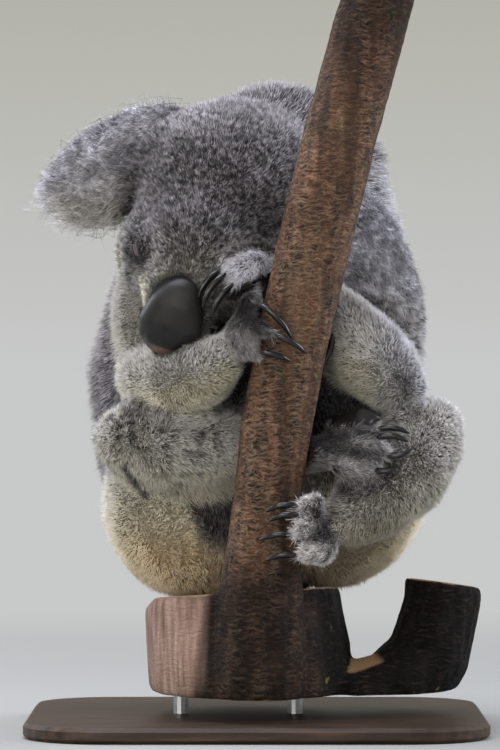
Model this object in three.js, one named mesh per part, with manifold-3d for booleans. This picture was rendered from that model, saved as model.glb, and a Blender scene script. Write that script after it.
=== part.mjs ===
// A life-size sleeping koala, seated in the fork of a cut tree limb and hugging its upright branch,
// on a plain display stand. Millimetres, +Z up, +X to the koala's left, the koala faces -Y.
// The origin is on the floor, under the middle of the stand's base.
// Every soft solid reaches out to the tips of the coat.
import * as THREE from "three";
import { mergeVertices } from "three/addons/utils/BufferGeometryUtils.js";
import Module from "manifold-3d";

const wasm = await Module();
wasm.setup();

// ---------------------------------------------------------------- driving dimensions
const GAP = 0.3; // clear space between neighbouring solids
const RIGHT = -1; // the koala's right side, at -X
const LEFT = 1; // the koala's left side, at +X

const BASE_WIDTH = 352;
const BASE_DEPTH = 316;
const BASE_THICK = 12;
const BASE_CORNER = 60; // corner radius in plan
const BASE_BEVEL = 3;
const ROD_RADIUS = 6;
const ROD_SPREAD = 44; // from the middle of the stump to each rod

const STUMP_FOOT = 30; // height of the saw cut under the stump
const SEAT_HEIGHT = 104; // height of the seat that the koala rests on
const BRANCH_TOP = 566; // height of the saw cut at the top of the branch
const BRANCH_RADIUS = 27;
const BRANCH_Y = -106; // the branch stands in front of the koala

const HEAD_PITCH = 52; // degrees that the sleeping face is bowed
const HEAD_YAW = 10; // turned to the koala's right
const HEAD_ROLL = 19; // leaning over to the koala's left
const HEAD_CENTRE = [-24, -30, 400];

const v = (x, y, z) => new THREE.Vector3(x, y, z);
const points = (list) => list.map(([x, y, z]) => v(x, y, z));
const radians = THREE.MathUtils.degToRad;

// ---------------------------------------------------------------- solids
// A closed three.js geometry as a manifold solid.
function solid(geometry) {
  for (const name of Object.keys(geometry.attributes)) {
    if (name !== "position") geometry.deleteAttribute(name);
  }
  const merged = mergeVertices(geometry, 1e-3);
  const mesh = new wasm.Mesh({
    numProp: 3,
    vertProperties: new Float32Array(merged.attributes.position.array),
    triVerts: new Uint32Array(merged.index.array),
  });
  return new wasm.Manifold(mesh);
}

const join = (solids) => solids.reduce((all, one) => all.add(one));

// A rounded limb along a curve: a sphere whose rings are carried along the spine. Each entry of
// radii is [across, through] at one spine point; blunt under 1 makes the ends fuller.
function limb(spine, radii, grow = 0, { across = v(1, 0, 0), blunt = 0.8, around = 10, along = 7 } = {}) {
  const curve = new THREE.CatmullRomCurve3(points(spine), false, "centripetal");
  const size = new THREE.CatmullRomCurve3(radii.map(([a, b]) => v(a, b, 0)), false, "centripetal");
  const ball = new THREE.SphereGeometry(1, around, along);
  const position = ball.attributes.position;
  for (let i = 0; i < position.count; i++) {
    const unit = new THREE.Vector3().fromBufferAttribute(position, i);
    const t = THREE.MathUtils.clamp((1 - unit.y) / 2, 0, 1);
    const centre = curve.getPoint(t);
    const tangent = curve.getTangent(t);
    const normal = across.clone().addScaledVector(tangent, -across.dot(tangent)).normalize();
    const binormal = tangent.clone().cross(normal);
    const ring = Math.hypot(unit.x, unit.z);
    const scale = ring > 1e-6 ? Math.pow(ring, blunt) / ring : 0;
    const { x: a, y: b } = size.getPoint(t);
    centre
      .addScaledVector(normal, unit.x * scale * (a + grow))
      .addScaledVector(binormal, unit.z * scale * (b + grow))
      .addScaledVector(tangent, -unit.y * grow);
    position.setXYZ(i, centre.x, centre.y, centre.z);
  }
  return solid(ball);
}

// An ellipsoid with its middle at centre and its half-lengths along the axes of frame.
function ellipsoid(centre, half, grow = 0, frame = new THREE.Matrix4(), around = 10, along = 7) {
  const ball = new THREE.SphereGeometry(1, around, along);
  ball.scale(half[0] + grow, half[1] + grow, half[2] + grow);
  ball.translate(...centre);
  ball.applyMatrix4(frame);
  return solid(ball);
}

// A very large slab above the plane through point with that outward normal, for a flat saw cut.
function beyond(point, normal) {
  const slab = new THREE.BoxGeometry(900, 900, 600);
  slab.translate(0, 0, 300);
  slab.applyQuaternion(new THREE.Quaternion().setFromUnitVectors(v(0, 0, 1), normal.clone().normalize()));
  slab.translate(point.x, point.y, point.z);
  return solid(slab);
}

// ---------------------------------------------------------------- perch
const BRANCH_LINE = [
  [1, BRANCH_Y + 16, 20],
  [3, BRANCH_Y + 4, 104],
  [8, BRANCH_Y, 178],
  [17, BRANCH_Y, 250],
  [36, BRANCH_Y, 340],
  [62, BRANCH_Y, 450],
  [94, BRANCH_Y, 566],
  [106, BRANCH_Y, 606],
];
const branchCurve = new THREE.CatmullRomCurve3(points(BRANCH_LINE), false, "centripetal");

// The middle of the branch at a height, found by halving.
function branchAt(height) {
  let low = 0;
  let high = 1;
  for (let i = 0; i < 30; i++) {
    const middle = (low + high) / 2;
    if (branchCurve.getPoint(middle).z < height) low = middle;
    else high = middle;
  }
  return branchCurve.getPoint(low);
}

// A point beside the branch: turn is in degrees from its front towards the koala's left side, and
// clear is how far it is off the bark.
function onBranch(turn, height, clear) {
  const centre = branchAt(height);
  const reach = BRANCH_RADIUS + clear;
  return [
    centre.x + Math.sin(radians(turn)) * reach,
    centre.y - Math.cos(radians(turn)) * reach,
    height,
  ];
}

function branch(grow = 0) {
  const girth = [44, 33, 25.5, 27, 27, 28, 28, 28].map((r) => [r, r]);
  const whole = limb(BRANCH_LINE, girth, grow, { blunt: 0.12, around: 12, along: 14 });
  const top = branchAt(BRANCH_TOP);
  return whole
    .subtract(beyond(top, branchCurve.getTangent(0.93)))
    .subtract(beyond(v(0, 0, STUMP_FOOT), v(0, 0, -1)));
}

// The seat is one sawn arm of the fork: broad, slightly squared and a little higher on its left.
function stump(grow = 0) {
  const line = [[0, -18, -40], [-3, -16, 30], [-9, -14, 75], [-13, -12, 130], [-13, -12, 190]];
  const girth = [[82, 104], [80, 104], [77, 100], [74, 94], [74, 94]];
  const whole = limb(line, girth, grow, { blunt: 0.12, around: 14, along: 7 });
  return whole
    .subtract(beyond(v(0, 0, STUMP_FOOT), v(0, 0, -1)))
    .subtract(beyond(v(-14, 0, SEAT_HEIGHT), v(-0.06, 0.05, 1)))
    .subtract(beyond(v(-80, 0, SEAT_HEIGHT - 6), v(-1, 0, 1)));
}

// The other arm of the fork leaves the foot of the stump, turns up and is sawn off short.
function fork(grow = 0) {
  const line = [[20, -12, 6], [74, -12, 12], [119, -6, 34], [142, 0, 82], [145, 0, 150], [145, 0, 190]];
  const girth = [[44, 70], [41, 68], [34, 58], [30, 50], [29, 46], [29, 46]];
  const whole = limb(line, girth, grow, { blunt: 0.12, around: 12, along: 10 });
  return whole
    .subtract(beyond(v(0, 0, STUMP_FOOT), v(0, 0, -1)))
    .subtract(beyond(v(144, 0, 112), v(0.14, 0.05, 1)));
}

// ---------------------------------------------------------------- stand
function standBase() {
  const w = BASE_WIDTH / 2 - BASE_BEVEL;
  const d = BASE_DEPTH / 2 - BASE_BEVEL;
  const c = BASE_CORNER;
  const outline = new THREE.Shape()
    .moveTo(c - w, -d)
    .lineTo(w - c, -d)
    .absarc(w - c, c - d, c, -Math.PI / 2, 0, false)
    .lineTo(w, d - c)
    .absarc(w - c, d - c, c, 0, Math.PI / 2, false)
    .lineTo(c - w, d)
    .absarc(c - w, d - c, c, Math.PI / 2, Math.PI, false)
    .lineTo(-w, c - d)
    .absarc(c - w, c - d, c, Math.PI, Math.PI * 1.5, false);
  const plate = new THREE.ExtrudeGeometry(outline, {
    depth: BASE_THICK - 2 * BASE_BEVEL,
    bevelThickness: BASE_BEVEL,
    bevelSize: BASE_BEVEL,
    bevelSegments: 1,
    curveSegments: 4,
  });
  plate.translate(0, 0, BASE_BEVEL);
  return solid(plate);
}

function standRod(side) {
  const length = STUMP_FOOT - BASE_THICK - 2 * GAP;
  const rod = new THREE.CylinderGeometry(ROD_RADIUS, ROD_RADIUS, length, 12);
  rod.rotateX(Math.PI / 2);
  rod.translate(-14 + side * ROD_SPREAD, -18, BASE_THICK + GAP + length / 2);
  return solid(rod);
}

// ---------------------------------------------------------------- head
// The head's own frame: +X to the koala's left, -Y forwards to the nose, +Z up to the crown.
const headFrame = new THREE.Matrix4()
  .makeTranslation(...HEAD_CENTRE)
  .multiply(new THREE.Matrix4().makeRotationY(radians(HEAD_ROLL)))
  .multiply(new THREE.Matrix4().makeRotationZ(radians(-HEAD_YAW)))
  .multiply(new THREE.Matrix4().makeRotationX(radians(HEAD_PITCH)));

const headPoints = (list) => points(list).map((p) => p.applyMatrix4(headFrame).toArray());
const headAxis = (x, y, z) => v(x, y, z).transformDirection(headFrame);

function headLimb(spine, radii, grow, options = {}) {
  return limb(headPoints(spine), radii, grow, { across: headAxis(1, 0, 0), ...options });
}

const headBall = (centre, half, grow, around = 8, along = 6) =>
  ellipsoid(centre, half, grow, headFrame, around, along);

function head(grow = 0) {
  const cranium = headBall([0, 13, 5], [72, 72, 61], grow, 12, 8);
  const muzzle = headLimb(
    [[0, -4, -4], [0, -60, -8], [0, -94, -12], [0, -118, -20]],
    [[58, 50], [42, 36], [31, 30], [22, 24]],
    grow,
    { blunt: 0.6, around: 10, along: 7 },
  );
  const cheeks = [RIGHT, LEFT].map((s) => headBall([s * 37, -40, -18], [32, 42, 36], grow));
  const brow = headBall([0, -40, 18], [46, 42, 30], grow);
  const chin = headBall([0, -84, -42], [24, 30, 17], grow);
  return join([cranium, muzzle, ...cheeks, brow, chin]);
}

// The bare nose leather, a tall rounded shield over the front of the muzzle.
function nose(grow = 0) {
  return headLimb(
    [[0, -90, 18], [0, -103, 8], [0, -117, -12], [0, -124, -37]],
    [[13, 8], [20, 12], [22.5, 14], [19, 11]],
    grow,
    { blunt: 0.62, around: 12, along: 7 },
  );
}

// Closed lids, a shallow almond on each side of the face.
function eyelids(side, grow = 0) {
  return headLimb(
    [[side * 47, -52, 0], [side * 43, -66, 5], [side * 35, -80, 4]],
    [[5, 4], [8, 8], [5, 4]],
    grow,
    { across: headAxis(side, -0.6, 0), around: 8, along: 6 },
  );
}

// The ear is a thick round flap with a fringe along its lower edge. The right one stands out
// level, and the left one hangs over the shoulder.
const EARS = {
  [RIGHT]: [[-42, 52, 16], [-72, 20, 13], [-100, -10, -2], [-134, -40, -6]],
  [LEFT]: [[46, 46, 18], [82, 22, 0], [112, 8, -18], [160, -26, -48]],
};

function ear(side, grow = 0) {
  return headLimb(EARS[side], [[32, 16], [36, 17], [37, 16], [23, 11]], grow, {
    across: headAxis(0, 0.72, 0.68),
    blunt: 0.66,
    around: 12,
    along: 8,
  });
}

const neck = (grow) => ellipsoid([-4, 26, 424], [88, 64, 60], grow, undefined, 10, 7);

// ---------------------------------------------------------------- trunk and limbs
function trunk(grow = 0) {
  return limb(
    [[0, 8, 99], [-5, 30, 150], [-4, 44, 250], [4, 46, 340], [14, 30, 440], [11, 18, 498]],
    [[92, 92], [118, 104], [131, 104], [116, 94], [102, 76], [78, 60]],
    grow,
    { blunt: 0.86, around: 16, along: 11 },
  );
}

const UPPER_ARM = {
  [RIGHT]: {
    spine: [[-56, 14, 384], [-78, 2, 330], [-82, -26, 268]],
    radii: [[40, 40], [35, 38], [33, 34]],
  },
  [LEFT]: {
    spine: [[66, 12, 392], [89, -8, 332], [102, -46, 262]],
    radii: [[40, 42], [37, 38], [34, 34]],
  },
};
const FOREARM = {
  [RIGHT]: {
    spine: [[-104, -14, 272], [-62, -62, 270], [-34, -94, 280], [-12, -108, 300]],
    radii: [[30, 30], [33, 33], [27, 28], [18, 18]],
  },
  [LEFT]: {
    spine: [[124, -44, 250], [92, -62, 280], [50, -62, 326], [22, -66, 356]],
    radii: [[30, 30], [32, 30], [25, 20], [18, 13]],
  },
};
const THIGH = {
  [RIGHT]: {
    spine: [[-42, 50, 110], [-63, 14, 166], [-84, -30, 224]],
    radii: [[52, 52], [57, 58], [48, 48]],
  },
  [LEFT]: {
    spine: [[36, 50, 118], [80, 16, 174], [118, -20, 234]],
    radii: [[46, 48], [52, 54], [40, 42]],
  },
};
const SHIN = {
  [RIGHT]: {
    spine: [[-122, -26, 226], [-72, -56, 222], [-20, -58, 214], [22, -58, 212]],
    radii: [[38, 38], [42, 36], [34, 26], [20, 18]],
  },
  [LEFT]: {
    spine: [[146, -8, 248], [116, -54, 206], [78, -94, 170], [52, -110, 152]],
    radii: [[36, 36], [40, 38], [30, 28], [20, 20]],
  },
};

const LIMB_SHAPE = { blunt: 0.72 };
const limbPart = ({ spine, radii }, grow) => limb(spine, radii, grow, LIMB_SHAPE);
const PAW_SHAPE = { blunt: 0.72, around: 8, along: 5 };
const DIGIT_SHAPE = { blunt: 0.7, around: 6, along: 5 };
const CLAW_SHAPE = { blunt: 0.6, around: 5, along: 5 };

// ---------------------------------------------------------------- hands and feet
// Each digit is a spine with a radius, and its claw carries on from the tip. Thumbs oppose the
// three fingers round the branch, and a foot's first toe has no claw.
const PAWS = {
  hand_right: {
    palm: {
      spine: [[-10, -104, 292], [-9, -112, 306], [-6, -118, 322]],
      radii: [[15, 20], [16, 22], [11, 15]],
    },
    digits: [
      {
        spine: [[-10, -110, 317], [-7, -124, 330], [3, -134, 326]],
        radius: 9,
        claw: [[2, -136, 326], [16, -140, 315], [27, -136, 299]],
      },
      {
        spine: [[-14, -114, 308], [-4, -134, 311], [14, -141, 303]],
        radius: 9.5,
        claw: [[13, -143, 303], [27, -143, 297], [38, -135, 288]],
      },
      {
        spine: [[-14, -110, 297], [-8, -128, 292], [3, -137, 289]],
        radius: 9,
        claw: [[2, -139, 290], [14, -141, 288], [26, -135, 283]],
      },
    ],
    thumbs: [
      {
        spine: [[-8, -96, 302], onBranch(-140, 306, 8), onBranch(176, 310, 8), onBranch(129, 304, 8)],
        radius: 8,
        claw: [onBranch(127, 305, 9), onBranch(124, 292, 10), onBranch(122, 281, 3)],
      },
      {
        spine: [[-8, -96, 288], onBranch(-140, 289, 8), onBranch(176, 291, 8), onBranch(140, 288, 8)],
        radius: 8,
        claw: [onBranch(138, 289, 9), onBranch(134, 276, 10), onBranch(132, 265, 3)],
      },
    ],
  },
  hand_left: {
    palm: {
      spine: [[32, -64, 352], [14, -72, 352], [-2, -84, 346]],
      radii: [[17, 12], [18, 13], [12, 10]],
    },
    digits: [
      {
        spine: [[8, -76, 360], [-9, -92, 360], [-27, -100, 351]],
        radius: 8.5,
        claw: [[-26, -102, 353], [-39, -106, 342], [-45, -104, 328]],
      },
      {
        spine: [[8, -84, 357], [-8, -100, 357], [-24, -109, 348]],
        radius: 8.5,
        claw: [[-22, -111, 350], [-35, -115, 338], [-41, -113, 323]],
      },
      {
        spine: [[8, -90, 348], [-5, -105, 349], [-18, -114, 340]],
        radius: 8,
        claw: [[-17, -116, 342], [-28, -119, 331], [-34, -117, 317]],
      },
    ],
    thumbs: [
      {
        spine: [[10, -76, 344], [1, -86, 332], [-6, -92, 320]],
        radius: 7.5,
        claw: [[-6, -94, 322], [-8, -96, 309], [-4, -96, 298]],
      },
      {
        spine: [[16, -70, 342], [8, -77, 330], [0, -80, 317]],
        radius: 7.5,
        claw: [[0, -82, 319], [-1, -85, 306], [4, -86, 295]],
      },
    ],
  },
  foot_right: {
    palm: {
      spine: [[14, -60, 210], [44, -82, 214], [76, -98, 218]],
      radii: [[19, 15], [22, 15], [19, 13]],
    },
    digits: [
      {
        spine: [[60, -92, 228], [78, -104, 233], [92, -110, 231]],
        radius: 7.5,
        claw: [[90, -112, 232], [103, -116, 234], [115, -115, 229]],
      },
      {
        spine: [[58, -96, 222], [76, -108, 226], [91, -114, 225]],
        radius: 7.5,
        claw: [[89, -116, 226], [102, -120, 228], [114, -119, 223]],
      },
      {
        spine: [[60, -98, 213], [82, -110, 216], [98, -112, 214]],
        radius: 9,
        claw: [[96, -114, 213], [108, -118, 213], [117, -116, 219]],
      },
      {
        spine: [[54, -96, 203], [74, -106, 202], [90, -108, 203]],
        radius: 8.5,
        claw: [[88, -110, 202], [99, -114, 201], [107, -112, 207]],
      },
    ],
    firstToe: {
      spine: [[50, -80, 224], [70, -90, 242], [98, -96, 239]],
      radii: [[8, 9], [8, 10], [8, 8]],
    },
  },
  foot_left: {
    palm: {
      spine: [[56, -106, 146], [47, -120, 153], [40, -127, 163]],
      radii: [[15, 21], [13, 24], [10, 18]],
    },
    digits: [
      {
        spine: [[48, -120, 177], [42, -136, 179], [30, -142, 175]],
        radius: 7.5,
        claw: [[31, -144, 176], [18, -147, 177], [6, -141, 171]],
      },
      {
        spine: [[48, -122, 168], [42, -138, 170], [31, -144, 168]],
        radius: 7.5,
        claw: [[32, -146, 169], [20, -149, 170], [8, -143, 164]],
      },
      {
        spine: [[48, -124, 156], [40, -140, 157], [26, -143, 154]],
        radius: 9,
        claw: [[27, -145, 155], [14, -147, 155], [1, -139, 150]],
      },
      {
        spine: [[48, -118, 142], [43, -134, 140], [30, -139, 138]],
        radius: 8.5,
        claw: [[31, -141, 139], [19, -144, 140], [6, -138, 135]],
      },
    ],
    firstToe: {
      spine: [[52, -106, 162], onBranch(112, 172, 9), onBranch(150, 176, 9)],
      radii: [[9, 11], [9, 10], [8, 8]],
    },
  },
};

function digit({ spine, radius }, grow) {
  const girth = [radius, radius, radius * 0.8].map((r) => [r, r]);
  return limb(spine, girth, grow, DIGIT_SHAPE);
}

// A claw is a narrow hook that tapers to a point, deeper than it is wide.
function claw(spine, grow) {
  const [root, middle, tip] = points(spine);
  const across = middle.clone().sub(root).cross(tip.clone().sub(middle)).normalize();
  return limb(spine, [[2.6, 3.2], [2.1, 2.6], [0.8, 0.9]], grow, { ...CLAW_SHAPE, across });
}

function paw({ palm, digits, thumbs = [], firstToe }, grow) {
  const stout = firstToe ? [palm, firstToe] : [palm];
  const pieces = stout.map(({ spine, radii }) => limb(spine, radii, grow, PAW_SHAPE));
  return join([...pieces, ...[...digits, ...thumbs].map((one) => digit(one, grow))]);
}

// ---------------------------------------------------------------- parting
// Nodes in order of precedence: each one gives way to those before it, and keeps GAP to them.
const nodes = [];
const add = (name, group, colour, finish, make) => nodes.push({ name, group, colour, finish, make });

const WOOD = { roughness: 0.85, metalness: 0 };
const STEEL = { roughness: 0.3, metalness: 1 };
const FUR = { roughness: 0.95, metalness: 0 };
const HORN = { roughness: 0.35, metalness: 0 };
const SKIN = { roughness: 0.55, metalness: 0 };
const SIDES = [["right", RIGHT], ["left", LEFT]];

add("stand_base", "stand", "#2e2621", WOOD, standBase);
add("stand_rod_right", "stand", "#b9bbbd", STEEL, () => standRod(RIGHT));
add("stand_rod_left", "stand", "#b9bbbd", STEEL, () => standRod(LEFT));
add("perch_branch", "perch", "#7d5a41", WOOD, branch);
add("perch_stump", "perch", "#4c3a31", WOOD, stump);
add("perch_fork", "perch", "#3a2f2a", WOOD, fork);
for (const [name, { digits, thumbs = [] }] of Object.entries(PAWS)) {
  const unclawed = thumbs.length ? 0 : 1; // a foot's first toe
  [...thumbs, ...digits].forEach((one, i) => {
    add(`claw_${name}_${i + 1 + unclawed}`, "koala", "#1b1a1c", HORN, (grow) => claw(one.claw, grow));
  });
}
for (const [name, spec] of Object.entries(PAWS)) {
  add(name, "koala", "#a3a19e", FUR, (grow) => paw(spec, grow));
}
add("nose", "koala", "#242324", SKIN, nose);
for (const [word, side] of SIDES) {
  add(`eyelids_${word}`, "koala", "#6f5a52", SKIN, (grow) => eyelids(side, grow));
}
add("head", "koala", "#86827f", FUR, head);
for (const [word, side] of SIDES) {
  add(`ear_${word}`, "koala", "#a7a5ab", FUR, (grow) => ear(side, grow));
}
for (const [word, side] of SIDES) {
  add(`forearm_${word}`, "koala", "#a7a298", FUR, (grow) => limbPart(FOREARM[side], grow));
  add(`shin_${word}`, "koala", "#8f8d88", FUR, (grow) => limbPart(SHIN[side], grow));
  add(`upper_arm_${word}`, "koala", "#a09e9c", FUR, (grow) => limbPart(UPPER_ARM[side], grow));
  add(`thigh_${word}`, "koala", "#a39b86", FUR, (grow) => limbPart(THIGH[side], grow));
}
add("neck", "koala", "#8b8786", FUR, neck);
add("trunk", "koala", "#8d8681", FUR, trunk);

// The largest closed body of a solid, which drops the slivers that a cut can leave.
const largest = (whole) => whole.decompose().reduce((a, b) => (a.volume() > b.volume() ? a : b));

// A manifold solid as a mesh whose own origin is the middle of its box.
function meshOf(name, whole, colour, finish) {
  const made = whole.getMesh();
  const geometry = new THREE.BufferGeometry();
  geometry.setAttribute("position", new THREE.BufferAttribute(new Float32Array(made.vertProperties), 3));
  geometry.setIndex(new THREE.BufferAttribute(new Uint32Array(made.triVerts), 1));
  geometry.computeBoundingBox();
  const middle = geometry.boundingBox.getCenter(v(0, 0, 0));
  geometry.translate(-middle.x, -middle.y, -middle.z);
  geometry.computeVertexNormals();
  const mesh = new THREE.Mesh(geometry, new THREE.MeshStandardMaterial({ color: colour, ...finish }));
  mesh.name = name;
  mesh.position.copy(middle);
  return mesh;
}

const model = new THREE.Group();
const groups = Object.fromEntries(["stand", "perch", "koala"].map((g) => [g, new THREE.Group()]));
model.add(...Object.values(groups));

let taken = null;
for (const { name, group, colour, finish, make } of nodes) {
  const whole = make(0);
  groups[group].add(meshOf(name, taken ? largest(whole.subtract(taken)) : whole, colour, finish));
  const wide = whole.add(make(GAP));
  taken = taken ? taken.add(wide) : wide;
}

export default model;
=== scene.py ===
# %% [markdown]
# # A sleeping koala on a display stand
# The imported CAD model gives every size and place. This notebook puts the looks round it: one skin,
# a coat of small solid tufts, horn claws, a leather nose, closed lids, bark, and a plain stand.

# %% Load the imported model
import math
import bmesh
import bpy
import numpy as np
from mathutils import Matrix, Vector, kdtree, noise
from mathutils.bvhtree import BVHTree


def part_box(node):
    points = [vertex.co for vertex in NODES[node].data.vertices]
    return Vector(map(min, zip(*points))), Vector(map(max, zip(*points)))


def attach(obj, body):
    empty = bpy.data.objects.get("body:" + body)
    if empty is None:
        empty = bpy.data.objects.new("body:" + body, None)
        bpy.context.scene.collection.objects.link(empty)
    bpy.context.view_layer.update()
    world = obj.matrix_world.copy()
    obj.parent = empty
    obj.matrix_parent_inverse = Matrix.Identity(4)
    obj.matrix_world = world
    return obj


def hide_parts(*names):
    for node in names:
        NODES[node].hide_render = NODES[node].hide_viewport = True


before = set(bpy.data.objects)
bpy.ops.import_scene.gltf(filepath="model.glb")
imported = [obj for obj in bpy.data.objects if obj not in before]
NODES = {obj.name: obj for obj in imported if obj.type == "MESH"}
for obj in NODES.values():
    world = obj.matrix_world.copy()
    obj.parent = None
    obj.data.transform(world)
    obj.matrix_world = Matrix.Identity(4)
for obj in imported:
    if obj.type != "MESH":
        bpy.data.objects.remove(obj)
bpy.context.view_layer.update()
MM = 0.001
rng = np.random.default_rng(11)

# %% [markdown]
# ## Camera
# A wild animal is watched through a long lens from far away, which flattens it. Moving a wide lens
# near would show more of the top and the knees, so the far place is kept, level with the belly. The
# Standard view shows each colour as it is written.

# %% Camera
LENS_MM = 204.8
CAMERA_AT = (-0.005, -3.306, 0.273)
camera_data = bpy.data.cameras.new("camera")
camera_data.lens = LENS_MM
camera_data.sensor_width = 36
camera_data.clip_end = 60
camera = bpy.data.objects.new("camera", camera_data)
camera.location = CAMERA_AT
camera.rotation_euler = (math.radians(90), 0, 0)
bpy.context.scene.collection.objects.link(camera)
bpy.context.scene.camera = camera
bpy.context.scene.view_settings.view_transform = "Standard"
print("camera", LENS_MM, "mm at", CAMERA_AT)

# %% [markdown]
# ## Helpers for materials
# Colours are written as they look on a screen (sRGB), and the shader wants linear light, so one
# function turns them. Nodes could be added by hand in the editor. One function that adds a node,
# fills it in and links it keeps each material short enough to read.


# %% Colour and node helpers
def linear(code):
    """An sRGB hex colour as linear red, green, blue and alpha."""
    parts = [int(code[i : i + 2], 16) / 255 for i in (1, 3, 5)]
    return [c / 12.92 if c < 0.04045 else ((c + 0.055) / 1.055) ** 2.4 for c in parts] + [1.0]


def add(material, kind, inputs=None, stops=(), out=0, **settings):
    """Adds a shader node with its settings, inputs and colour stops, and gives back one output.

    A socket given as an input is linked, and any other value is typed in."""
    tree = material.node_tree
    made = tree.nodes.new("ShaderNode" + kind)
    for name, value in settings.items():
        setattr(made, name, value)
    for key, value in (inputs or {}).items():
        if isinstance(value, bpy.types.NodeSocket):
            tree.links.new(value, made.inputs[key])
        else:
            made.inputs[key].default_value = value
    for number, (place, code) in enumerate(stops):
        elements = made.color_ramp.elements
        if number == len(elements):
            elements.new(place)
        elements[number].position = place
        elements[number].color = linear(code)
    return made.outputs[out] if made.outputs else None


def new_material(name):
    """An empty node material, and the object coordinates that its patterns follow."""
    material = bpy.data.materials.new(name)
    material.use_nodes = True
    material.node_tree.nodes.clear()
    return material, add(material, "TexCoord", out="Object")


def per_metre(size):
    """How many grains of so many millimetres go into a metre, which is what a texture's Scale counts."""
    return round(1000 / size)


print("mid grey in linear light", round(linear("#808080")[0], 3), "and 4 mm grain", per_metre(4))

# %% [markdown]
# ## Studio
# A museum model is shown on a wide sheet of matt paper that runs into the backdrop. A curved sweep
# could be modelled, but it would show an edge from some sides. So the floor is a very wide disc that
# takes the soft shadow and fades, away from the stand, into the colour of the far backdrop.

# %% Floor
# Uncoated paper is quite matt: it shows no highlight, only a cloudy tint 333 mm wide.
FLOOR_RADIUS = 24
FLOOR_SIDES = 64
floor_mesh = bpy.data.meshes.new("studio_floor")
turns = np.linspace(0, 2 * math.pi, FLOOR_SIDES + 1)[:-1]
floor_ring = [(FLOOR_RADIUS * math.cos(a), FLOOR_RADIUS * math.sin(a), 0) for a in turns]
floor_mesh.from_pydata(floor_ring, [], [list(range(FLOOR_SIDES))])
floor = bpy.data.objects.new("studio_floor", floor_mesh)
bpy.context.scene.collection.objects.link(floor)
paper, where = new_material("matt_pale_paper")
cloudy = add(paper, "TexNoise", {"Vector": where, "Scale": per_metre(333), "Detail": 2.0})
paper_tint = add(paper, "ValToRGB", {"Fac": cloudy}, [(0.3, "#9c9c99"), (0.7, "#a0a09d")])
matt = add(paper, "BsdfPrincipled", {"Base Color": paper_tint, "Roughness": 0.9})
haze = add(paper, "Emission", {"Color": linear("#c8c9c9")})
way_off = add(paper, "VectorMath", {0: where}, out="Value", operation="LENGTH")
far = add(paper, "MapRange", {
    "Value": way_off, "From Min": 0.35, "From Max": 1.7}, interpolation_type="SMOOTHSTEP")
faded = add(paper, "MixShader", {0: far, 1: matt, 2: haze})
add(paper, "OutputMaterial", {"Surface": faded})
floor_mesh.materials.append(paper)
print("floor", FLOOR_RADIUS * 2, "m wide")

# %% Backdrop
# Camera, glossy and transmission rays see the painted backdrop, and all others an even pale sky.
world = bpy.data.worlds.new("pale_studio")
world.use_nodes = True
world.node_tree.nodes.clear()
rays = add(world, "LightPath").node.outputs
ambient = add(world, "Background", {"Color": linear("#eceff2"), "Strength": 0.5})
way_up = add(world, "SeparateXYZ", {0: add(world, "TexCoord", out="Generated")}, out="Z")
height = add(world, "MapRange", {"Value": way_up, "From Min": 0.0, "From Max": 0.09})
sky = add(world, "ValToRGB", {"Fac": height}, [(0.0, "#c8c9c9"), (1.0, "#b3b2a9")])
backdrop = add(world, "Background", {"Color": sky, "Strength": 1.0})
mirrored = add(world, "Math", {
    0: rays["Is Glossy Ray"], 1: rays["Is Transmission Ray"]}, operation="MAXIMUM")
shown = add(world, "Math", {0: rays["Is Camera Ray"], 1: mirrored}, operation="MAXIMUM")
pick = add(world, "MixShader", {0: shown, 1: ambient, 2: backdrop})
add(world, "OutputWorld", {"Surface": pick})
bpy.context.scene.world = world
print("backdrop of", len(world.node_tree.nodes), "nodes")

# %% [markdown]
# ## Lights
# Fur looks soft when a large light rims it from behind. A sun lamp would draw a hard shadow, so every
# lamp is a wide square: the key above and behind, a weak fill in front, and a rim on each side.


# %% Lights
def softbox(name, place, aim, size, power, tint):
    """A square area lamp at place that looks at aim."""
    data = bpy.data.lights.new(name, "AREA")
    data.size = size
    data.energy = power
    data.color = linear(tint)[:3]
    lamp = bpy.data.objects.new(name, data)
    lamp.location = place
    lamp.rotation_euler = (Vector(aim) - Vector(place)).to_track_quat("-Z", "Y").to_euler()
    bpy.context.scene.collection.objects.link(lamp)


softbox("key", (-0.35, -0.15, 1.9), (0, 0, 0.3), 1.2, 34, "#f0f3ff")
softbox("fill", (-0.9, -2.4, 0.7), (0, 0, 0.25), 1.8, 34, "#fff9f0")
softbox("rim_right", (1.8, 0.1, 1.0), (0, 0, 0.25), 1.0, 30, "#eef3ff")
softbox("rim_left", (-1.7, 0.7, 0.9), (0, 0, 0.25), 1.0, 22, "#eef3ff")
print("lamps", len(bpy.data.lights))

# %% [markdown]
# ## Helpers for meshes
# Under its coat an animal is one skin without seams. Joining the CAD solids by booleans would keep
# every hard edge. A voxel remesh fuses merged copies of them instead, and averaging each point with
# its neighbours along the edges then smooths either the shape or any value carried on it.


# %% Fusing CAD solids
def together(meshes):
    """Several meshes as one."""
    joined = bmesh.new()
    for mesh in meshes:
        joined.from_mesh(mesh)
    made = bpy.data.meshes.new("together")
    joined.to_mesh(made)
    joined.free()
    return made


def solid_copy(names, swell):
    """One mesh from merged copies of CAD solids, each grown by swell so that neighbours join."""
    copies = []
    for name in names:
        part = bmesh.new()
        part.from_mesh(NODES[name].data)
        bmesh.ops.remove_doubles(part, verts=part.verts, dist=1e-6)
        part.normal_update()
        for vertex in part.verts:
            vertex.co += vertex.normal * swell
        copies.append(bpy.data.meshes.new("loose"))
        part.to_mesh(copies[-1])
        part.free()
    return together(copies)


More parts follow.
